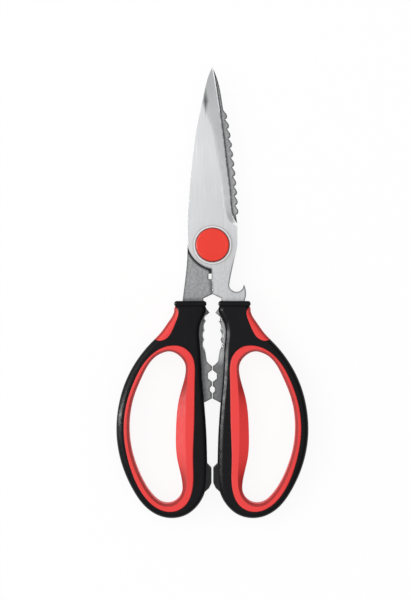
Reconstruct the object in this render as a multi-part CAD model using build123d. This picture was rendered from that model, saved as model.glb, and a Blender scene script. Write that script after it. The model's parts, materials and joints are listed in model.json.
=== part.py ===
from build123d import *
import os

# Kitchen shears, lying flat and closed. X runs across, +Y runs along the blades to the tip and +Z is up.
# The origin is on the pivot's axis, in the plane that the shears lie on. Lengths are in millimetres.
# Each half is drawn as the upper one, with its grip on the +X side. The lower half is the same shape
# turned over about the Y axis, so its grip lies on the -X side.

# Blades
blade_length = 87.5  # pivot to tip
blade_half_width = 12.2  # pivot to spine, where the blade is widest
blade_thickness = 2.5
blade_gap = 0.1  # running gap between the two blades
honed_width = 0.6  # the steep bevel along the cutting edge
honed_height = 1.0  # thickness where the crowned bevel meets the honed one
edge_thickness = 0.2

# Fish scaler on the lower blade's spine
scaler_start = 15.0  # pivot to the last lobe
scaler_length = 51.0
scaler_pitch = 4.7
scaler_rise = 0.8
scaler_bite = 0.5

# Tangs, from the pivot back to the grips
neck_length = 27.4  # pivot to the front of the grips
tang_lap = 0.4  # how far a tang reaches past the middle
tooth_row_start = 17.2  # pivot to the small teeth between the tangs
small_tooth_pitch = 1.5
small_tooth_height = 1.3
small_tooth_count = 3
fork_start = 23.9  # pivot to the front of the nutcracker gap
wire_notch_start = 14.0
wire_notch_width = 2.7
wire_notch_depth = 2.3
opener_reach = 16.4  # pivot line to the back of the bottle opener's hook
tang_hole_radius = 2.0

# Nutcracker jaws
jaw_half_gap = 4.1  # middle to the jaws, where the gap is widest
jaw_length = 32.1  # front of the grips to the foot of the gap
jaw_tooth_depth = 0.8
jaw_bevel = 0.6  # bevel round the hollows between the teeth, on both faces
jaw_clearance = 0.15  # middle to each jaw, where they meet
bridge_length = 15.8  # foot of the gap to the end of the metal
large_hole_width = 4.3
large_hole_length = 5.8
small_hole_width = 2.4
small_hole_length = 3.6
bridge_slope = 2.1  # how far the end of the metal falls away to each side
tang_tail = 1.6  # hidden stretch of tang past the bridge

# Grips
grip_half_width = 47.0  # middle to the outside of a finger loop
grip_length = 106.3
grip_thickness = 13.0
liner_rise = 0.4  # how far the liners and collars stand above the black body
body_rounding = 2.8
body_corner = 3.2  # corners of the black body's front, in plan
collar_length = 2.8
collar_half_start = 2.9  # middle to the near side of a collar
collar_width = 15.8
collar_corner = 1.3  # corners of the collar in plan
collar_rounding = 1.2  # its upper and lower rims
collar_seat = 1.0  # how far the black body starts behind the collar's front
seam_rounding = 0.5
facet_drop = 2.4  # how far the liner's inner slope falls
bumper_gap = 0.85
bumper_height = 10.0
bumper_length = 14.6
bumper_seat = 2.5  # how deep a bumper sits in its grip
bumper_foot_taper = 0.8  # how much shorter its hidden foot is at each end

# Pivot
pin_radius = 3.0  # the barrel that the upper blade turns on
pin_running = 0.05  # radial clearance of the upper blade on the barrel
key_radius = 3.5  # the barrel's keyed foot in the lower blade
screw_radius = 1.8
thread_clearance = 0.05  # radial, between the screw and the barrel
head_radius = 6.2
head_height = 1.4
drive_slot_width = 1.2
drive_slot_depth = 0.8
spring_height = 0.6
spring_thickness = 0.3
spring_radius = 5.4
seat_thickness = 0.5
seat_radius = 9.2
washer_clearance = 0.05  # radial, between a washer's bore and what runs through it
seat_play = 0.05  # gap between the upper seat washer and the upper blade
cap_radius = 8.3
cap_fit = 0.05  # radial, between a cap and the head that it is pressed over
cap_rounding = 0.9

overrun = 2.0  # how far every cutting shape runs past the piece it cuts

# Levels, counted up from the plane that the shears lie on
middle_level = grip_thickness / 2
upper_inner_level = middle_level + blade_gap / 2
upper_outer_level = upper_inner_level + blade_thickness
lower_inner_level = middle_level - blade_gap / 2
lower_outer_level = lower_inner_level - blade_thickness
upper_seat_level = upper_outer_level + seat_play
lower_seat_level = lower_outer_level - seat_thickness
cap_height = lower_seat_level
flange_height = head_height + spring_height

# The blade's three long lines, each row a place along the blade as a share of its length, then the spine,
# the grind line and the cutting edge as shares of the half width
blade_shares = [
    (0.18, -0.985, 0.50, 0.81),
    (0.28, -0.94, 0.385, 0.735),
    (0.42, -0.85, 0.25, 0.62),
    (0.56, -0.73, 0.10, 0.503),
    (0.66, -0.62, -0.04, 0.41),
    (0.75, -0.49, -0.26, 0.32),
    (0.85, -0.335, -0.37, 0.21),
    (0.93, -0.2, -0.42, 0.115),
]
tip_shares = (0.012, 1.0)
shoulder_share = 0.122
# The same rows without the spine, where the grind runs off the side behind the shoulder and past the tip
runout_shares = [(0.1, 1.04, 1.26), (0.122, 0.78, 1.0)]
past_tip_shares = (1.05, -0.48, -0.05)
honed_reach_share = 1.0
# Section of the bevel: place across it, then how far it has fallen. It starts gently at the grind line
crown_shares = [
    (-0.2, -0.05),
    (-0.1, -0.035),
    (0.0, 0.0),
    (0.1, 0.06),
    (0.2, 0.145),
    (0.35, 0.29),
    (0.5, 0.455),
    (0.75, 0.73),
    (1.0, 1.0),
    (1.2, 1.21),
]
crown_rows = 24

# One lobe of the scaler, from the tip's side: shares of the pitch, then of the lobe's depth
lobe_shares = [(0.0, 0.0), (0.35, 0.62), (0.68, 1.0), (0.9, 0.72), (1.0, 0.0)]

# Outer side of the tangs, as shares of the half width and of the neck
plain_neck_shares = [(1.02, 0.30), (1.08, 0.573), (1.2, 1.0)]
opener_neck_shares = [(0.86, 0.303), (0.75, 0.518), (0.675, 0.723)]
# The bottle opener, as shares of its reach and of the neck: notch floor, foot of the hook, tip, back, foot
opener_shares = [(0.71, 0.836), (0.91, 0.77), (0.945, 0.706), (1.0, 0.815), (0.965, 1.0)]
heel_share = 0.64
heel_end_share = 0.96
fork_shares = (1.07, 0.956)

# The jaw, as shares of the half gap and of the jaw's length: front tooth, its foot, then the cusps
jaw_tip_shares = [(1.05, 0.06), (0.34, 0.18), (0.79, 0.23)]
jaw_cusp_shares = [(0.73, 0.305), (0.92, 0.452), (0.96, 0.59), (0.9, 0.745)]
jaw_ledge_shares = [(0.78, 0.83), (0.67, 0.925), (0.34, 0.97)]
large_hole_share = 0.30
small_hole_share = 0.72
hole_flat_share = 0.45

# Hidden side of the tang in its grip, and the holes that lock it, as shares of the grip
tang_rib_share = 0.157
tang_bend_shares = [(0.157, 0.29), (0.205, 0.205), (0.304, 0.115)]
tang_hole_shares = [(0.215, 0.075), (0.205, 0.15)]

# Outlines of a grip, as shares of its half width and of its length, from the front
bow_shares = [
    (0.46, 0.098),
    (0.54, 0.147),
    (0.636, 0.191),
    (0.806, 0.286),
    (0.926, 0.395),
    (0.989, 0.513),
    (1.0, 0.607),
    (0.947, 0.748),
    (0.833, 0.866),
    (0.668, 0.96),
    (0.533, 0.993),
    (0.392, 1.0),
    (0.261, 0.983),
    (0.154, 0.943),
    (0.085, 0.89),
    (0.056, 0.82),
    (0.054, 0.725),
    (0.06, 0.63),
    (0.087, 0.457),
    (0.108, 0.34),
    (0.125, 0.2),
    (0.115, 0.1),
]
window_shares = [
    (0.397, 0.204),
    (0.545, 0.22),
    (0.704, 0.281),
    (0.813, 0.367),
    (0.886, 0.459),
    (0.923, 0.575),
    (0.908, 0.668),
    (0.847, 0.777),
    (0.757, 0.867),
    (0.668, 0.92),
    (0.548, 0.959),
    (0.41, 0.969),
    (0.281, 0.94),
    (0.213, 0.88),
    (0.199, 0.745),
    (0.189, 0.57),
    (0.181, 0.35),
    (0.213, 0.25),
    (0.302, 0.213),
]
# Finger hole and the ridge above it, matched point for point
hole_shares = [
    (0.48, 0.234),
    (0.6, 0.26),
    (0.741, 0.355),
    (0.833, 0.462),
    (0.867, 0.575),
    (0.842, 0.688),
    (0.758, 0.799),
    (0.628, 0.894),
    (0.521, 0.93),
    (0.406, 0.928),
    (0.322, 0.888),
    (0.316, 0.831),
    (0.369, 0.72),
    (0.38, 0.605),
    (0.342, 0.44),
    (0.285, 0.345),
    (0.285, 0.29),
    (0.34, 0.254),
]
ridge_shares = [
    (0.479, 0.224),
    (0.612, 0.251),
    (0.761, 0.349),
    (0.856, 0.458),
    (0.891, 0.575),
    (0.865, 0.692),
    (0.777, 0.806),
    (0.641, 0.904),
    (0.525, 0.941),
    (0.397, 0.939),
    (0.296, 0.894),
    (0.266, 0.831),
    (0.275, 0.72),
    (0.281, 0.605),
    (0.272, 0.44),
    (0.257, 0.345),
    (0.261, 0.283),
    (0.328, 0.243),
]
pad_shares = [
    (0.385, 0.028),
    (0.356, 0.048),
    (0.376, 0.092),
    (0.414, 0.132),
    (0.470, 0.169),
    (0.519, 0.181),
    (0.60, 0.176),
]
# The bumper's place, as a share of the grip's length and half width, then its side, as shares of its own
# length and of its reach from the grip to the middle
bumper_place_shares = (0.0553, 0.745)
bumper_side_shares = [(0.0, -0.1), (0.05, 0.05), (0.2, 1.0), (0.67, 1.0), (0.84, 0.46), (1.0, -0.7)]


def prism(face, bottom, top):
    """A solid of this plan between two levels."""
    return Pos(0, 0, bottom) * extrude(face, amount=top - bottom, dir=(0, 0, 1))


def closed_face(edges):
    return Face(Wire(edges))


def disc(radius, bottom, top):
    standing = (Align.CENTER, Align.CENTER, Align.MIN)
    return Pos(0, 0, bottom) * Cylinder(radius, top - bottom, align=standing)


def turned_over(piece):
    """The same piece turned over about the Y axis, at the level where the blades meet."""
    return Pos(0, 0, middle_level) * Rot(0, 180, 0) * Pos(0, 0, -middle_level) * piece


def blade_point(across_share, along_share):
    return (blade_half_width * across_share, blade_length * along_share)


def neck_point(across_share, along_share):
    return (blade_half_width * across_share, -neck_length * along_share)


def opener_point(across_share, along_share):
    return (opener_reach * across_share, -neck_length * along_share)


def jaw_point(across_share, along_share):
    return (jaw_half_gap * across_share, -neck_length - jaw_length * along_share)


def grip_point(across_share, along_share):
    return (grip_half_width * across_share, -neck_length - grip_length * along_share)


def plain_spine():
    """The upper blade's spine, from the shoulder to the tip."""
    foot = blade_point(-1, shoulder_share)
    rows = [blade_point(spine, along) for along, spine, grind, edge in blade_shares]
    return [Spline(foot, *rows, blade_point(*tip_shares))]


def spine_reach(along):
    """How far the spine stands from the pivot line at this distance from the pivot."""
    rows = [(shoulder_share, -1.0)]
    rows += [(row[0], row[1]) for row in blade_shares]
    share = along / blade_length
    for (low, low_reach), (high, high_reach) in zip(rows, rows[1:]):
        if share <= high:
            break
    part = (share - low) / (high - low)
    return -blade_half_width * (low_reach + part * (high_reach - low_reach))


def scaler_spine():
    """The lower blade's spine: plain behind the tip, then lobed down to the shoulder."""
    count = round(scaler_length / scaler_pitch)
    lobes = []
    for number in reversed(range(count)):
        far = scaler_start + scaler_pitch * (number + 1)
        points = []
        for along_share, depth_share in lobe_shares:
            along = far - scaler_pitch * along_share
            rise = (scaler_rise + scaler_bite) * depth_share - scaler_bite
            points.append((-spine_reach(along) - rise, along))
        lobes.append(Spline(*points))
    first = lobes[0] @ 0
    last = lobes[-1] @ 1
    rows = [blade_point(spine, along) for along, spine, grind, edge in blade_shares]
    rows = [row for row in rows if row[1] > first.Y + scaler_pitch / 2]
    upper = Spline(first, *rows, blade_point(*tip_shares))
    foot = blade_point(-1, shoulder_share)
    lobes.reverse()
    return [Line(foot, last), *lobes, upper]


def neck_side(with_opener):
    """Outer side of the tang, from the blade's shoulder line back into the grip."""
    start = (blade_half_width, 0)
    if not with_opener:
        neck = [neck_point(*shares) for shares in plain_neck_shares]
        return [Spline(start, *neck)]
    neck = [neck_point(*shares) for shares in opener_neck_shares]
    floor, foot, tip, back, root = [opener_point(*shares) for shares in opener_shares]
    return [
        Spline(start, *neck),
        ThreePointArc(neck[-1], floor, foot),
        Line(foot, tip),
        ThreePointArc(tip, back, root),
    ]


def hidden_side(entry):
    """The tang's outer side inside the grip, from where it enters to its tail."""
    rib, bend, turn = [grip_point(*shares) for shares in tang_bend_shares]
    tail = (grip_half_width * tang_rib_share, tail_level())
    return [Spline(entry, turn, bend, rib), Line(rib, tail)]


def foot_level():
    """Where the nutcracker gap ends."""
    return -neck_length - jaw_length


def tail_level():
    return foot_level() - bridge_length - bridge_slope - tang_tail


def bridge_side():
    """Where the two jaws meet behind the gap: half of each hole, then the sloping end."""
    places = [(large_hole_share, large_hole_width, large_hole_length)]
    places.append((small_hole_share, small_hole_width, small_hole_length))
    points = [(jaw_clearance, foot_level())]
    for share, width, length in places:
        centre = foot_level() - bridge_length * share
        flat = length * hole_flat_share / 2
        points.append((jaw_clearance, centre + length / 2))
        points.append((width / 2, centre + flat))
        points.append((width / 2, centre - flat))
        points.append((jaw_clearance, centre - length / 2))
    end = foot_level() - bridge_length
    points.append((jaw_clearance, end))
    points.append((jaw_half_gap, end - bridge_slope))
    points.append((grip_half_width * tang_rib_share, tail_level()))
    return [Line(a, b) for a, b in zip(points, points[1:])]


def jaw_side():
    """The nutcracker jaw, from under the collar back to the foot of the gap."""
    hidden, tip, foot = [jaw_point(*shares) for shares in jaw_tip_shares]
    cusps = [jaw_point(*shares) for shares in jaw_cusp_shares]
    ledge = [jaw_point(*shares) for shares in jaw_ledge_shares]
    edges = [Line(hidden, tip), Line(tip, foot)]
    for near, far in zip([foot, *cusps], cusps):
        middle = ((near[0] + far[0]) / 2 + jaw_tooth_depth, (near[1] + far[1]) / 2)
        edges.append(ThreePointArc(near, middle, far))
    path = [cusps[-1], *ledge, (jaw_clearance, foot_level())]
    edges += [Line(a, b) for a, b in zip(path, path[1:])]
    return edges


def jaw_bevels():
    """The cones that bevel both rims of every hollow between the jaw's teeth."""
    standing = (Align.CENTER, Align.CENTER, Align.MIN)
    cones = []
    for edge in jaw_side():
        if edge.geom_type != GeomType.CIRCLE:
            continue
        place = Pos(edge.arc_center.X, edge.arc_center.Y, 0)
        sink = Cone(edge.radius, edge.radius + jaw_bevel, jaw_bevel, align=standing)
        cones.append(place * Pos(0, 0, blade_thickness - jaw_bevel) * sink)
        cones.append(place * Pos(0, 0, jaw_bevel) * Rot(180, 0, 0) * sink)
    return cones


def inner_side():
    """The tang's inner side, from the heel under the pivot to the jaw."""
    heel = (-blade_half_width * heel_share, -blade_half_width * heel_share)
    heel_end = (-tang_lap, -blade_half_width * heel_end_share)
    edges = [ThreePointArc((-blade_half_width, 0), heel, heel_end)]
    points = [heel_end, (-tang_lap, -tooth_row_start)]
    for number in range(small_tooth_count):
        near = tooth_row_start + small_tooth_pitch * number
        points.append((-tang_lap - small_tooth_height / 2, -near - small_tooth_pitch / 2))
        points.append((-tang_lap + small_tooth_height / 2, -near - small_tooth_pitch))
    points.append((-tang_lap, -fork_start))
    points.append((jaw_half_gap * fork_shares[0], -neck_length * fork_shares[1]))
    points.append(jaw_point(*jaw_tip_shares[0]))
    edges += [Line(a, b) for a, b in zip(points, points[1:])]
    return edges


def blade_outline(scaler, with_opener):
    """Plan of a blade with its tang, spine on the -X side."""
    spine = scaler_spine() if scaler else plain_spine()
    edge_rows = [blade_point(edge, along) for along, spine_at, grind, edge in blade_shares]
    shoulder = blade_point(1, shoulder_share)
    neck = neck_side(with_opener)
    edges = [
        Line((-blade_half_width, 0), blade_point(-1, shoulder_share)),
        *spine,
        Spline(shoulder, *edge_rows, blade_point(*tip_shares)),
        Line((blade_half_width, 0), shoulder),
        *neck,
        *hidden_side(neck[-1] @ 1),
        *bridge_side(),
        *jaw_side(),
        *inner_side(),
    ]
    return closed_face(edges)


def crowned_grinding(inner_line, outer_line):
    """The space above a crowned bevel between two lines, a little past both of them."""
    inner = Spline(*inner_line)
    outer = Spline(*outer_line)
    rows = []
    for number in range(crown_rows + 1):
        near = inner @ (number / crown_rows)
        far = outer @ (number / crown_rows)
        row = []
        for place, fall in crown_shares:
            point = near + (far - near) * place
            row.append(Vector(point.X, point.Y, near.Z + (far.Z - near.Z) * fall))
        rows.append(row)
    ground = Face.make_surface_from_array_of_points(rows)
    return extrude(ground, amount=blade_thickness + overrun, dir=(0, 0, 1))


def flat_grinding(inner_line, outer_line, reach_share):
    """The space above a flat ground face that runs through two lines, a little past both of them."""
    inner = []
    outer = []
    for near, far in zip(inner_line, outer_line):
        near, far = Vector(*near), Vector(*far)
        step = (far - near) * reach_share
        inner.append(near - step)
        outer.append(far + step)
    ground = Face.make_surface_from_curves(Spline(*inner), Spline(*outer))
    return extrude(ground, amount=blade_thickness + overrun, dir=(0, 0, 1))


def blade(scaler, with_opener):
    """A blade with its inner face at level zero and its ground face on top."""
    plate = prism(blade_outline(scaler, with_opener), 0, blade_thickness)
    rows = [(along, grind, edge) for along, spine, grind, edge in blade_shares]
    rows = [*runout_shares, *rows, past_tip_shares]
    grind_line = []
    honed_line = []
    edge_line = []
    for along, grind, edge in rows:
        x, y = blade_point(edge, along)
        grind_line.append((*blade_point(grind, along), blade_thickness))
        honed_line.append((x - honed_width, y, honed_height))
        edge_line.append((x, y, edge_thickness))
    plate -= crowned_grinding(grind_line, honed_line)
    plate -= flat_grinding(honed_line, edge_line, honed_reach_share)
    for cone in jaw_bevels():
        plate -= cone
    for shares in tang_hole_shares:
        x, y = grip_point(*shares)
        plate -= Pos(x, y, 0) * disc(tang_hole_radius, -overrun, blade_thickness + overrun)
    return plate


def keyed_plan(clearance):
    """Plan of the barrel's foot: a round with two flats."""
    width = 2 * (pin_radius + clearance)
    length = 2 * (key_radius + clearance)
    return Circle(key_radius + clearance) & Rectangle(width, length)


def front_blade():
    piece = Pos(0, 0, upper_inner_level) * blade(scaler=False, with_opener=True)
    piece -= disc(pin_radius + pin_running, middle_level, upper_outer_level + overrun)
    return piece


def rear_blade():
    piece = blade(scaler=True, with_opener=False)
    notch = Pos(-tang_lap, -wire_notch_start - wire_notch_width / 2, 0)
    piece -= notch * Box(2 * wire_notch_depth, wire_notch_width, 2 * blade_thickness + overrun)
    piece = turned_over(Pos(0, 0, upper_inner_level) * piece)
    piece -= prism(keyed_plan(0), lower_outer_level - overrun, middle_level)
    return piece


def pivot_nut():
    """Barrel nut: flange, keyed foot in the lower blade and the round pin that the upper blade turns on."""
    piece = disc(head_radius, lower_seat_level - flange_height, lower_seat_level)
    piece += prism(keyed_plan(0), lower_seat_level, lower_inner_level)
    piece += disc(pin_radius, lower_inner_level, upper_seat_level)
    piece -= disc(screw_radius + thread_clearance, lower_seat_level, upper_seat_level + overrun)
    slot = Box(2 * head_radius + overrun, drive_slot_width, 2 * drive_slot_depth)
    return piece - Pos(0, 0, lower_seat_level - flange_height) * slot


def pivot_screw():
    head_level = upper_seat_level + seat_thickness + spring_height
    piece = disc(head_radius, head_level, head_level + head_height)
    piece += disc(screw_radius, lower_inner_level, head_level)
    slot = Box(2 * head_radius + overrun, drive_slot_width, 2 * drive_slot_depth)
    return piece - Pos(0, 0, head_level + head_height) * slot


def spring_washer():
    """Conical spring washer between the upper seat washer and the screw's head."""
    bottom = upper_seat_level + seat_thickness
    bore = screw_radius + washer_clearance
    low, high = bottom + spring_thickness, bottom + spring_height - spring_thickness
    section = Polyline(
        (bore, high),
        (bore, bottom + spring_height),
        (spring_radius, low),
        (spring_radius, bottom),
        close=True,
    )
    return revolve(Plane.XZ * make_face(section), Axis.Z)


def seat_washer(bottom, bore):
    return disc(seat_radius, bottom, bottom + seat_thickness) - disc(bore, bottom, bottom + seat_thickness)


def front_cap():
    """Cap pressed over the screw's head."""
    bottom = upper_seat_level + seat_thickness
    piece = disc(cap_radius, bottom, bottom + cap_height)
    piece = fillet(piece.edges().filter_by(GeomType.CIRCLE).sort_by(Axis.Z)[-1], cap_rounding)
    return piece - disc(head_radius + cap_fit, bottom, bottom + flange_height + cap_fit)


def rear_cap():
    """The same cap, turned over and pressed onto the nut's flange."""
    lowered = Pos(0, 0, -upper_seat_level - seat_thickness) * front_cap()
    return Pos(0, 0, cap_height) * Rot(180, 0, 0) * lowered


def body_outline():
    """Plan of a grip: a straight front with round corners, then one flowing line round the loop."""
    front = -neck_length - collar_seat
    near = collar_half_start
    far = collar_half_start + collar_width
    turn = body_corner
    points = [grip_point(*shares) for shares in bow_shares]
    outer_start = (far, front - turn)
    inner_end = (near, front - turn)
    ends = [(0, -1), (0, 1)]
    bow = Spline(outer_start, *points, inner_end, tangents=ends, tangent_scalars=[1, 1])
    return closed_face([
        bow,
        TangentArc(inner_end, (near + turn, front), tangent=(0, 1)),
        Line((near + turn, front), (far - turn, front)),
        TangentArc((far - turn, front), outer_start, tangent=(1, 0)),
    ])


def share_loop(shares):
    """A smooth closed plan through these places in the grip."""
    return closed_face([Spline(*[grip_point(*pair) for pair in shares], periodic=True)])


def body_blank():
    """The whole grip, before its window and its soft pieces are cut out."""
    blank = prism(body_outline(), liner_rise, grip_thickness - liner_rise)
    rims = blank.edges().group_by(Axis.Z)[0] + blank.edges().group_by(Axis.Z)[-1]
    return fillet(rims, body_rounding)


def collar():
    """The raised rim at the front of a grip."""
    centre = collar_half_start + collar_width / 2
    plan = Pos(centre, -neck_length - collar_length / 2) * RectangleRounded(
        collar_width, collar_length, collar_corner
    )
    block = prism(plan, 0, grip_thickness)
    rims = block.edges().group_by(Axis.Z)[0] + block.edges().group_by(Axis.Z)[-1]
    return fillet(rims, collar_rounding)


def pad_cutter():
    """The leaf-shaped place of the shoulder pad, open to the outside of the grip."""
    points = [grip_point(*pair) for pair in pad_shares]
    last, first = points[-1], points[0]
    outside_last = (last[0] + overrun, last[1])
    outside_first = (first[0] + overrun, first[1] + overrun)
    return closed_face([
        Spline(*points),
        Line(last, outside_last),
        Line(outside_last, outside_first),
        Line(outside_first, first),
    ])


def bumper_plan():
    root, near = grip_point(*bumper_place_shares)
    reach = root - bumper_gap / 2
    side = []
    for along_share, out_share in bumper_side_shares:
        side.append((root - reach * out_share, near - bumper_length * along_share))
    foot = [
        (root + bumper_seat, side[-1][1] + bumper_foot_taper),
        (root + bumper_seat, side[0][1] - bumper_foot_taper),
    ]
    return make_face(Polyline(*side, *foot, close=True))


def bumper():
    """Rubber stop that meets its twin when the shears are closed."""
    bottom = middle_level - bumper_height / 2
    return prism(bumper_plan(), bottom, bottom + bumper_height)


def shoulder_pad():
    return body_blank() & prism(pad_cutter(), -overrun, grip_thickness + overrun)


def liner():
    """Soft ring in the grip's window, with a slope down to the finger hole on both faces."""
    ring = prism(share_loop(window_shares), 0, grip_thickness)
    rims = ring.edges().group_by(Axis.Z)[0] + ring.edges().group_by(Axis.Z)[-1]
    ring = fillet(rims, seam_rounding)
    ring -= prism(share_loop(hole_shares), -overrun, grip_thickness + overrun)
    low = Pos(0, 0, grip_thickness - facet_drop) * share_loop(hole_shares)
    high = Pos(0, 0, grip_thickness) * share_loop(ridge_shares)
    slope = loft([low, high], ruled=True)
    return ring - slope - turned_over(slope).mirror(Plane.YZ)


def grip(tang):
    """Black body of a grip, moulded round its tang."""
    piece = body_blank() + collar()
    piece -= prism(share_loop(window_shares), -overrun, grip_thickness + overrun)
    piece -= prism(pad_cutter(), -overrun, grip_thickness + overrun)
    piece -= bumper()
    return piece - tang


upper_blade = front_blade()
lower_blade = rear_blade()
right_grip_piece = grip(upper_blade)
left_grip_piece = turned_over(grip(turned_over(lower_blade)))

pieces = {
    "front_blade": upper_blade,
    "rear_blade": lower_blade,
    "pivot_nut": pivot_nut(),
    "pivot_screw": pivot_screw(),
    "pivot_spring_washer": spring_washer(),
    "front_seat_washer": seat_washer(upper_seat_level, screw_radius + washer_clearance),
    "rear_seat_washer": seat_washer(lower_seat_level, key_radius + washer_clearance),
    "front_cap": front_cap(),
    "rear_cap": rear_cap(),
    "right_grip": right_grip_piece,
    "left_grip": left_grip_piece,
    "right_liner": liner(),
    "left_liner": turned_over(liner()),
    "right_shoulder_pad": shoulder_pad(),
    "left_shoulder_pad": turned_over(shoulder_pad()),
    "right_bumper": bumper(),
    "left_bumper": turned_over(bumper()),
}

os.makedirs("parts", exist_ok=True)
for name, piece in pieces.items():
    export_step(piece, "parts/" + name + ".step")
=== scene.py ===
import json

import bpy
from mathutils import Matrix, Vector

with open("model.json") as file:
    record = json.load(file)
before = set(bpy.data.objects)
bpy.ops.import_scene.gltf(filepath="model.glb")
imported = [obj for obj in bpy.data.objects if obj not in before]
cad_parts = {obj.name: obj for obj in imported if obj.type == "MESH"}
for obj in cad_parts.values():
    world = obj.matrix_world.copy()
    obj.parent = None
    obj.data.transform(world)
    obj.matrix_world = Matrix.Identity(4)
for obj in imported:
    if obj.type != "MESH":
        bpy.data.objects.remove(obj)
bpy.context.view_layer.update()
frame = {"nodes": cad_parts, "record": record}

nodes = frame["nodes"]

# Kitchen shears, lying closed. Lengths are in metres and colours are linear. X runs across,
# Y along the blades to the tip, and Z up out of the front face.

# The level at which the inner faces of the two blades meet
middle_level = 0.0065

# The camera, straight above the shears
frame_height = 0.294
frame_centre = (-0.00338, -0.02695)
focus_level = 0.009
lens = 120.0
sensor = 36.0
near_clip = 0.01
far_clip = 20.0


# Node helpers

edge_samples = 4
edge_turn = (0.999, 0.965)
crevice_samples = 16


class Shading:
    """A material under construction, with short calls for its nodes."""

    def __init__(self, name):
        self.material = bpy.data.materials.new(name)
        self.material.use_nodes = True
        self.tree = self.material.node_tree
        self.tree.nodes.clear()
        self.output = self.tree.nodes.new("ShaderNodeOutputMaterial")
        self.place = self.tree.nodes.new("ShaderNodeTexCoord").outputs["Object"]
        self.normal = self.tree.nodes.new("ShaderNodeNewGeometry").outputs["Normal"]

    def put(self, socket, value):
        """Links a socket to another one, or sets it to a constant."""
        if isinstance(value, bpy.types.NodeSocket):
            self.tree.links.new(value, socket)
        elif value is not None:
            socket.default_value = value

    def stretched(self, scale):
        """The object's coordinates, stretched by a factor for each axis."""
        node = self.tree.nodes.new("ShaderNodeMapping")
        self.put(node.inputs["Vector"], self.place)
        node.inputs["Scale"].default_value = scale
        return node.outputs["Vector"]

    def noise(self, scale, detail, roughness):
        node = self.tree.nodes.new("ShaderNodeTexNoise")
        self.put(node.inputs["Vector"], self.stretched(scale))
        node.inputs["Scale"].default_value = 1.0
        node.inputs["Detail"].default_value = detail
        node.inputs["Roughness"].default_value = roughness
        return node.outputs["Fac"]

    def cells(self, scale):
        node = self.tree.nodes.new("ShaderNodeTexVoronoi")
        self.put(node.inputs["Vector"], self.stretched(scale))
        node.inputs["Scale"].default_value = 1.0
        return node.outputs["Distance"]

    def component(self, vector, axis):
        node = self.tree.nodes.new("ShaderNodeSeparateXYZ")
        self.put(node.inputs["Vector"], vector)
        return node.outputs[axis]

    def math(self, operation, first, second=None):
        node = self.tree.nodes.new("ShaderNodeMath")
        node.operation = operation
        self.put(node.inputs[0], first)
        self.put(node.inputs[1], second)
        return node.outputs["Value"]

    def ranged(self, value, low, high, to_low=0.0, to_high=1.0):
        """A value eased from one pair of ends to another."""
        node = self.tree.nodes.new("ShaderNodeMapRange")
        node.interpolation_type = "SMOOTHSTEP"
        self.put(node.inputs["Value"], value)
        node.inputs["From Min"].default_value = low
        node.inputs["From Max"].default_value = high
        node.inputs["To Min"].default_value = to_low
        node.inputs["To Max"].default_value = to_high
        return node.outputs["Result"]

    def raised(self, value, mask, amount):
        """A value with an amount added where the mask is 1."""
        return self.math("ADD", value, self.math("MULTIPLY", mask, amount))

    def lowered(self, value, mask, amount):
        """A value with an amount taken off where the mask is 1."""
        return self.math("SUBTRACT", value, self.math("MULTIPLY", mask, amount))

    def dimmed(self, value, mask, share):
        """A value that loses a share of itself where the mask is 1."""
        return self.math("MULTIPLY", value, self.lowered(1.0, mask, share))

    def blended(self, share, first, second):
        """Two numbers or number sockets blended by a share."""
        node = self.tree.nodes.new("ShaderNodeMix")
        self.put(node.inputs[0], share)
        self.put(node.inputs[2], first)
        self.put(node.inputs[3], second)
        return node.outputs[0]

    def mixed(self, share, first, second):
        """Two colours or colour sockets blended by a share."""
        node = self.tree.nodes.new("ShaderNodeMix")
        node.data_type = "RGBA"
        self.put(node.inputs[0], share)
        for socket, value in ((node.inputs[6], first), (node.inputs[7], second)):
            if isinstance(value, tuple):
                value = (*value, 1.0)
            self.put(socket, value)
        return node.outputs[2]

    def shaded(self, colour, share):
        """A colour or colour socket multiplied by a share."""
        node = self.tree.nodes.new("ShaderNodeVectorMath")
        node.operation = "SCALE"
        self.put(node.inputs[0], colour)
        self.put(node.inputs["Scale"], share)
        return node.outputs["Vector"]

    def rounded(self, radius):
        """The normal of the surface with its sharp edges rounded."""
        node = self.tree.nodes.new("ShaderNodeBevel")
        node.samples = edge_samples
        node.inputs["Radius"].default_value = radius
        return node.outputs["Normal"]

    def edges(self, radius):
        """How close the nearest sharp edge is: 1 on it, 0 beyond the radius."""
        node = self.tree.nodes.new("ShaderNodeVectorMath")
        node.operation = "DOT_PRODUCT"
        self.put(node.inputs[0], self.rounded(radius))
        self.put(node.inputs[1], self.normal)
        return self.ranged(node.outputs["Value"], *edge_turn)

    def crevices(self, reach):
        """How far other surfaces within reach hide this one: 0 in the open, 1 in a corner."""
        node = self.tree.nodes.new("ShaderNodeAmbientOcclusion")
        node.samples = crevice_samples
        node.inputs["Distance"].default_value = reach
        return self.math("SUBTRACT", 1.0, node.outputs["AO"])

    def bump(self, height, depth, strength, under=None):
        """A normal with fine relief, over another normal where one is given."""
        node = self.tree.nodes.new("ShaderNodeBump")
        node.inputs["Strength"].default_value = strength
        node.inputs["Distance"].default_value = depth
        self.put(node.inputs["Height"], height)
        self.put(node.inputs["Normal"], under)
        return node.outputs["Normal"]

    def surface(self, **sockets):
        """Ends the material with one shader. Its sockets are named with underlines for spaces."""
        shader = self.tree.nodes.new("ShaderNodeBsdfPrincipled")
        for name, value in sockets.items():
            if isinstance(value, tuple) and len(value) == 3:
                value = (*value, 1.0)
            self.put(shader.inputs[name.replace("_", " ")], value)
        self.tree.links.new(shader.outputs["BSDF"], self.output.inputs["Surface"])
        return self.material


# Steel

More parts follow.
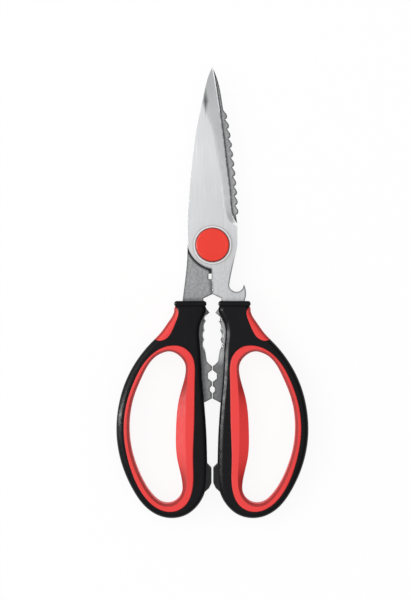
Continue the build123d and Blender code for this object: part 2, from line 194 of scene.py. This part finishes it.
# Where the blades' painted light and shade, and their roughness, change along Y, from the start of
# the change to its end
face_run = (0.0, 0.050)
bevel_run = (0.020, 0.085)
inner_run = (0.0, -0.012)
behind_pivot_run = (-0.002, -0.014)
jaws_run = (-0.0275, -0.034)
bridge_run = (-0.054, -0.060)
contact_run = (-0.0160, -0.0130)

# How far off the middle level a face may be and still count as an inner one
inner_depth = (0.0004, 0.0002)

# The upward share of the normal at which a surface counts as ground, honed, upright and so on
ground_turn = (0.999, 0.985)
honed_turn = (0.80, 0.70)
wall_turn = (0.35, 0.15)
edge_shade_turn = (0.9, 0.99)
contact_turn = (0.6, 0.9)

# Painted light and shade on the blades: grey levels at the start and the end of each run, and the
# painted shade that takes them down
face_painted_tones = (0.60, 0.705)
bevel_painted_tones = (0.98, 0.56)
inner_painted_tones = (0.33, 0.285)
honed_painted_tone = 0.92
wall_painted_tone = 0.34
behind_pivot_painted_shade = 0.07
jaws_painted_shade = 0.12
bridge_painted_shade = 0.25
inner_jaws_painted_shade = 0.04
steel_tint = (0.99, 1.0, 1.015)

# The painted dark reflection near the tip, on the outer faces: its centre, how fast it fades and
# its depth
reflection_off_middle = 0.0034
reflection_along = 0.0705
reflection_rate_across = 650.0
reflection_rate_along = 150.0
reflection_fade = (1.5, 0.0)
reflection_tones = (1.0, 0.25)

# Grain of the blades: the noise's spread that counts, and the tones at its ends
streak_spread = (0.25, 0.75)
streak_tones = (0.92, 1.06)
cloud_spread = (0.35, 0.65)
cloud_tones = (1.02, 0.94)
mottle_spread = (0.3, 0.7)
mottle_tones = (0.82, 1.16)
mottle_behind_pivot = 0.4

# Painted shade as dark lines: along the edges of inner faces and tangs, and a painted shadow where
# one blade lies on the other
edge_shade_reach = 0.0013
edge_shade_depth = 0.92
edge_shade_loss_in_jaws = 0.3
contact_reach = 0.0022
contact_spread = (0.05, 0.26)
contact_shares = (0.30, 1.0)
contact_outer_share = 0.3
contact_depth = 0.88

# Roughness and relief of the blades
streak_roughness = (0.28, 0.38)
rough_ground_gain = 0.10
honed_roughness_drop = 0.10
wall_roughness_gain = 0.12
blade_edge_radius = 0.00015
fine_depth = 0.000004
streak_depth = 0.00001


def blade_steel(name):
    """Satin stainless steel, brushed lengthwise, with smoother honed edges and rougher inner
    faces, tangs, bridge and walls.
    Its grey levels are painted light: painted reflections make the bevels and honed edges bright
    and the faces lighter towards the tip, and painted shade darkens the upright walls, the inner
    faces, the tangs and the jaws."""
    s = Shading(name)
    across = s.component(s.place, "X")
    along = s.component(s.place, "Y")
    level = s.math("SUBTRACT", s.component(s.place, "Z"), middle_level)
    own_across = s.math("MULTIPLY", across, s.math("SIGN", level))
    depth = s.math("ABSOLUTE", level)
    upright = s.math("ABSOLUTE", s.component(s.normal, "Z"))

    streaks = s.noise((5200.0, 55.0, 5200.0), detail=4.0, roughness=0.6)
    fine = s.noise((14000.0, 160.0, 14000.0), detail=2.0, roughness=0.5)
    clouds = s.noise((70.0, 25.0, 70.0), detail=3.0, roughness=0.5)
    mottle = s.noise((900.0, 700.0, 900.0), detail=4.0, roughness=0.65)

    ground = s.ranged(upright, *ground_turn)
    honed = s.ranged(upright, *honed_turn)
    wall = s.ranged(upright, *wall_turn)
    inside = s.ranged(depth, *inner_depth)
    behind_pivot = s.ranged(along, *behind_pivot_run)
    in_jaws = s.ranged(along, *jaws_run)
    in_bridge = s.ranged(along, *bridge_run)

    # Painted reflection: the outer faces' grey level rises towards the tip
    face_painted_tone = s.ranged(along, *face_run, *face_painted_tones)
    # Painted shade: the tangs behind the pivot, the jaws and the bridge between the grips are made
    # darker
    face_painted_tone = s.lowered(face_painted_tone, behind_pivot, behind_pivot_painted_shade)
    face_painted_tone = s.lowered(face_painted_tone, in_jaws, jaws_painted_shade)
    face_painted_tone = s.lowered(face_painted_tone, in_bridge, bridge_painted_shade)
    # Painted shade: the inner faces, partly under the other blade, are darker
    inner_painted_tone = s.ranged(along, *inner_run, *inner_painted_tones)
    inner_painted_tone = s.lowered(inner_painted_tone, in_jaws, inner_jaws_painted_shade)
    tone = s.blended(inside, face_painted_tone, inner_painted_tone)
    # Painted reflection: the ground bevels are painted brighter than the faces near the pivot and
    # darker towards the tip
    bevel_painted_tone = s.ranged(along, *bevel_run, *bevel_painted_tones)
    bevelled = s.math("MULTIPLY", ground, s.math("SUBTRACT", 1.0, inside))
    tone = s.blended(bevelled, tone, bevel_painted_tone)
    # Painted highlight: the honed edges are painted bright
    tone = s.blended(honed, tone, honed_painted_tone)
    # Painted shade: upright walls are painted dark
    tone = s.blended(wall, tone, wall_painted_tone)

    # Painted reflection: a soft dark spot near the tip, on the outer faces only
    off_reflection = s.math("MULTIPLY", s.math("ADD", own_across, reflection_off_middle), reflection_rate_across)
    past_reflection = s.math("MULTIPLY", s.math("SUBTRACT", along, reflection_along), reflection_rate_along)
    dark_reflection = s.math("ADD", s.math("ABSOLUTE", off_reflection), s.math("ABSOLUTE", past_reflection))
    dark_reflection_tone = s.blended(inside, s.ranged(dark_reflection, *reflection_fade, *reflection_tones), 1.0)
    tone = s.math("MULTIPLY", tone, dark_reflection_tone)
    tone = s.math("MULTIPLY", tone, s.ranged(streaks, *streak_spread, *streak_tones))
    tone = s.math("MULTIPLY", tone, s.ranged(clouds, *cloud_spread, *cloud_tones))
    rough_tang = s.math("MULTIPLY", behind_pivot, mottle_behind_pivot)
    rough_ground = s.math("MAXIMUM", s.math("MAXIMUM", inside, in_bridge), rough_tang)
    mottled = s.math("MULTIPLY", tone, s.ranged(mottle, *mottle_spread, *mottle_tones))
    tone = s.blended(rough_ground, tone, mottled)

    # Painted shade: dark lines along the sharp edges of inner faces and tangs, weaker in the jaws
    edge_shade = s.math(
        "MULTIPLY", s.edges(edge_shade_reach), s.math("MAXIMUM", inside, behind_pivot)
    )
    edge_shade = s.dimmed(edge_shade, in_jaws, edge_shade_loss_in_jaws)
    edge_shade = s.math("MULTIPLY", edge_shade, s.ranged(upright, *edge_shade_turn))
    tone = s.dimmed(tone, edge_shade, edge_shade_depth)

    # Painted shadow: darker where the other blade comes close, mostly on the inner faces
    contact_shadow = s.ranged(s.crevices(contact_reach), *contact_spread)
    contact_shadow = s.math("MULTIPLY", contact_shadow, s.ranged(upright, *contact_turn))
    contact_share = s.math(
        "MULTIPLY",
        s.ranged(along, *contact_run, *contact_shares),
        s.math("MAXIMUM", inside, contact_outer_share),
    )
    contact_shadow = s.math("MULTIPLY", contact_shadow, contact_share)
    tone = s.dimmed(tone, contact_shadow, contact_depth)
    tint = s.shaded(steel_tint, tone)

    rough = s.ranged(streaks, *streak_spread, *streak_roughness)
    rough = s.raised(rough, rough_ground, rough_ground_gain)
    rough = s.lowered(rough, honed, honed_roughness_drop)
    rough = s.raised(rough, wall, wall_roughness_gain)
    relief = s.bump(fine, fine_depth, 0.6, s.rounded(blade_edge_radius))
    relief = s.bump(streaks, streak_depth, 0.7, relief)
    return s.surface(Base_Color=tint, Metallic=1.0, Roughness=rough, Normal=relief)


# Grey levels, roughness and rings of the turned pieces at the pivot, and the painted shade in
# their corners
turned_greys = (0.82, 0.92)
turned_spread = (0.3, 0.7)
turned_roughness = (0.16, 0.26)
turned_contact_reach = 0.0009
turned_contact_spread = (0.08, 0.40)
turned_contact_depth = 0.8
ring_rate = 42000.0
ring_depth = 0.000002


def grey(value):
    """A grey with a trace of blue, as bright steel has."""
    return (value, value, value * 1.01)


def turned_steel(name):
    """Bright turned steel, with fine rings round the pivot and painted shade as dark lines in its
    corners.
    """
    s = Shading(name)
    across = s.component(s.place, "X")
    along = s.component(s.place, "Y")
    squares = [s.math("MULTIPLY", distance, distance) for distance in (across, along)]
    radius = s.math("SQRT", s.math("ADD", *squares))
    rings = s.math("SINE", s.math("MULTIPLY", radius, ring_rate))
    spots = s.noise((900.0, 900.0, 900.0), detail=3.0, roughness=0.6)
    # Painted shade: dark lines where other surfaces come within reach
    contact_shadow = s.ranged(s.crevices(turned_contact_reach), *turned_contact_spread)
    dark, bright = (grey(value) for value in turned_greys)
    tint = s.mixed(s.ranged(spots, *turned_spread), dark, bright)
    tint = s.shaded(tint, s.lowered(1.0, contact_shadow, turned_contact_depth))
    rough = s.ranged(spots, *turned_spread, *turned_roughness)
    relief = s.bump(rings, ring_depth, 0.5)
    return s.surface(Base_Color=tint, Metallic=1.0, Roughness=rough, Normal=relief)


# Plastics

drift_spread = (0.35, 0.65)
rubbed_spread = (0.42, 0.75)
rubbed_share = 0.25
# Painted shade: a rim darker where the edges turn over
rim_start = (0.93, 0.70)
rim_end = (0.08, 0.40)
# Painted shade in crevices, where other surfaces come within reach
crevice_reach = 0.0012
crevice_spread = (0.20, 0.60)
crevice_depth = 0.55
roughness_spread = (0.3, 0.7)
mottle_roughness = 0.05
drift_roughness = 0.03
moulded_edge_radius = 0.0003
pore_share = 0.5


def moulded(name, light, dark, roughness, grain_depth, specular, sheen=0.0, rim_shade=0.0):
    """A moulded plastic or rubber: a fine pebbled grain, slow colour drift, faint rubbed spots,
    painted shade in its crevices, and a painted shaded rim a little darker where the edges turn
    over."""
    s = Shading(name)
    drift = s.noise((45.0, 30.0, 60.0), detail=3.0, roughness=0.5)
    mottle = s.noise((420.0, 420.0, 420.0), detail=4.0, roughness=0.6)
    grain = s.cells((3200.0, 3200.0, 3200.0))
    pores = s.noise((6500.0, 6500.0, 6500.0), detail=2.0, roughness=0.5)
    tint = s.mixed(s.ranged(drift, *drift_spread), dark, light)
    tint = s.mixed(s.ranged(mottle, *rubbed_spread, 0.0, rubbed_share), tint, light)
    upright = s.math("ABSOLUTE", s.component(s.normal, "Z"))
    # Painted shade: the rim where the surface turns over is made darker
    turned = s.math("MULTIPLY", s.ranged(upright, *rim_start), s.ranged(upright, *rim_end))
    # Painted shade: darker in crevices near other surfaces
    crevice_shade = s.ranged(s.crevices(crevice_reach), *crevice_spread)
    kept = s.dimmed(s.lowered(1.0, turned, rim_shade), crevice_shade, crevice_depth)
    tint = s.shaded(tint, kept)
    rough = s.ranged(
        mottle, *roughness_spread, roughness - mottle_roughness, roughness + mottle_roughness
    )
    uneven = s.ranged(drift, *roughness_spread, -drift_roughness, drift_roughness)
    rough = s.math("ADD", rough, uneven)
    relief = s.bump(pores, grain_depth * pore_share, 0.5, s.rounded(moulded_edge_radius))
    relief = s.bump(grain, grain_depth, 0.6, relief)
    return s.surface(
        Base_Color=tint,
        Roughness=rough,
        Normal=relief,
        Specular_IOR_Level=specular,
        Sheen_Weight=sheen,
        Sheen_Roughness=0.5,
    )


finishes = {
    "blade_steel": blade_steel("satin_steel"),
    "pivot_steel": turned_steel("turned_steel"),
    "cap_red": moulded(
        "cap_plastic",
        light=(0.97, 0.041, 0.020),
        dark=(0.93, 0.034, 0.016),
        roughness=0.36,
        grain_depth=0.000004,
        specular=0.35,
        rim_shade=0.8,
    ),
    "grip_black": moulded(
        "grip_plastic",
        light=(0.005, 0.005, 0.0065),
        dark=(0.003, 0.003, 0.004),
        roughness=0.22,
        grain_depth=0.000002,
        specular=0.13,
    ),
    "soft_red": moulded(
        "soft_red_rubber",
        light=(0.96, 0.056, 0.053),
        dark=(0.91, 0.048, 0.045),
        roughness=0.5,
        grain_depth=0.000006,
        specular=0.25,
        sheen=0.04,
        rim_shade=0.5,
    ),
    "bumper_black": moulded(
        "bumper_rubber",
        light=(0.006, 0.006, 0.007),
        dark=(0.004, 0.004, 0.005),
        roughness=0.6,
        grain_depth=0.000008,
        specular=0.25,
    ),
}

for subpart in frame["record"]["subparts"]:
    node = nodes[subpart["node"]]
    node.data.materials.clear()
    node.data.materials.append(finishes[subpart["material_slot"]])


# Floor and light

floor_half = 3.0
paper_grey = 0.9

# With the paper's own share, this strength comes out white to the camera
glow_strength = 1.025
glow_share = 0.88

sky_left = 0.80
sky_right = 0.30
sky_top = 0.98
sky_top_start = 0.45


def studio_floor():
    """A wide pale sheet that the shears lie on. The camera and mirrored rays see it mostly as
    white, and the rest of its look is paper, which keeps the shadow."""
    low, high = -floor_half, floor_half
    mesh = bpy.data.meshes.new("studio_floor")
    corners = [(low, low, 0.0), (high, low, 0.0), (high, high, 0.0), (low, high, 0.0)]
    mesh.from_pydata(corners, [], [(0, 1, 2, 3)])
    floor = bpy.data.objects.new("studio_floor", mesh)
    bpy.context.scene.collection.objects.link(floor)
    material = bpy.data.materials.new("pale_floor")
    material.use_nodes = True
    tree = material.node_tree
    tree.nodes.clear()
    output = tree.nodes.new("ShaderNodeOutputMaterial")
    paper = tree.nodes.new("ShaderNodeBsdfDiffuse")
    paper.inputs["Color"].default_value = (paper_grey, paper_grey, paper_grey, 1.0)
    white = tree.nodes.new("ShaderNodeEmission")
    white.inputs["Color"].default_value = (1.0, 1.0, 1.0, 1.0)
    white.inputs["Strength"].default_value = glow_strength
    rays = tree.nodes.new("ShaderNodeLightPath")
    seen = tree.nodes.new("ShaderNodeMath")
    seen.operation = "MAXIMUM"
    tree.links.new(rays.outputs["Is Camera Ray"], seen.inputs[0])
    tree.links.new(rays.outputs["Is Glossy Ray"], seen.inputs[1])
    share = tree.nodes.new("ShaderNodeMath")
    share.operation = "MULTIPLY"
    tree.links.new(seen.outputs[0], share.inputs[0])
    share.inputs[1].default_value = glow_share
    blend = tree.nodes.new("ShaderNodeMixShader")
    tree.links.new(share.outputs[0], blend.inputs[0])
    tree.links.new(paper.outputs[0], blend.inputs[1])
    tree.links.new(white.outputs[0], blend.inputs[2])
    tree.links.new(blend.outputs[0], output.inputs["Surface"])
    mesh.materials.append(material)


def lamp(name, place, aim, width, height, power, gloss_only=False):
    """A square-cornered area lamp. One that is for gloss only lights no diffuse surface."""
    data = bpy.data.lights.new(name, "AREA")
    data.shape = "RECTANGLE"
    data.size = width
    data.size_y = height
    data.energy = power
    lamp_object = bpy.data.objects.new(name, data)
    bpy.context.scene.collection.objects.link(lamp_object)
    lamp_object.location = place
    direction = Vector(aim) - Vector(place)
    lamp_object.rotation_euler = direction.to_track_quat("-Z", "Y").to_euler()
    lamp_object.visible_diffuse = not gloss_only


def studio_world():
    """Soft light from everywhere, strongest from straight above and stronger from the left than
    from the right."""
    world = bpy.data.worlds.new("studio_world")
    bpy.context.scene.world = world
    world.use_nodes = True
    tree = world.node_tree
    background = tree.nodes["Background"]
    background.inputs["Color"].default_value = (1.0, 1.0, 1.0, 1.0)
    direction = tree.nodes.new("ShaderNodeTexCoord")
    split = tree.nodes.new("ShaderNodeSeparateXYZ")
    tree.links.new(direction.outputs["Generated"], split.inputs["Vector"])
    side = tree.nodes.new("ShaderNodeMapRange")
    side.inputs["From Min"].default_value = -1.0
    side.inputs["From Max"].default_value = 1.0
    side.inputs["To Min"].default_value = sky_left
    side.inputs["To Max"].default_value = sky_right
    tree.links.new(split.outputs["X"], side.inputs["Value"])
    height = tree.nodes.new("ShaderNodeMapRange")
    height.interpolation_type = "SMOOTHSTEP"
    height.inputs["From Min"].default_value = sky_top_start
    height.inputs["From Max"].default_value = 1.0
    height.inputs["To Max"].default_value = sky_top
    tree.links.new(split.outputs["Z"], height.inputs["Value"])
    tree.links.new(side.outputs["Result"], height.inputs["To Min"])
    tree.links.new(height.outputs["Result"], background.inputs["Strength"])


def camera():
    data = bpy.data.cameras.new("camera")
    data.sensor_fit = "AUTO"
    data.sensor_width = sensor
    data.lens = lens
    distance = frame_height / 2 / (sensor / 2 / lens)
    camera_object = bpy.data.objects.new("camera", data)
    bpy.context.scene.collection.objects.link(camera_object)
    camera_object.location = (*frame_centre, focus_level + distance)
    camera_object.rotation_euler = (0.0, 0.0, 0.0)
    data.clip_start = near_clip
    data.clip_end = far_clip
    bpy.context.scene.camera = camera_object


studio_floor()
studio_world()
lamp(
    "key",
    place=(-0.95, 0.25, 0.80),
    aim=(0.0, -0.03, 0.0),
    width=0.8,
    height=0.8,
    power=3.8,
)
lamp(
    "strip",
    place=(-0.80, -0.05, 0.55),
    aim=(0.0, -0.08, 0.0),
    width=0.05,
    height=1.2,
    power=10.0,
    gloss_only=True,
)
camera()
bpy.context.scene.view_settings.view_transform = "Standard"
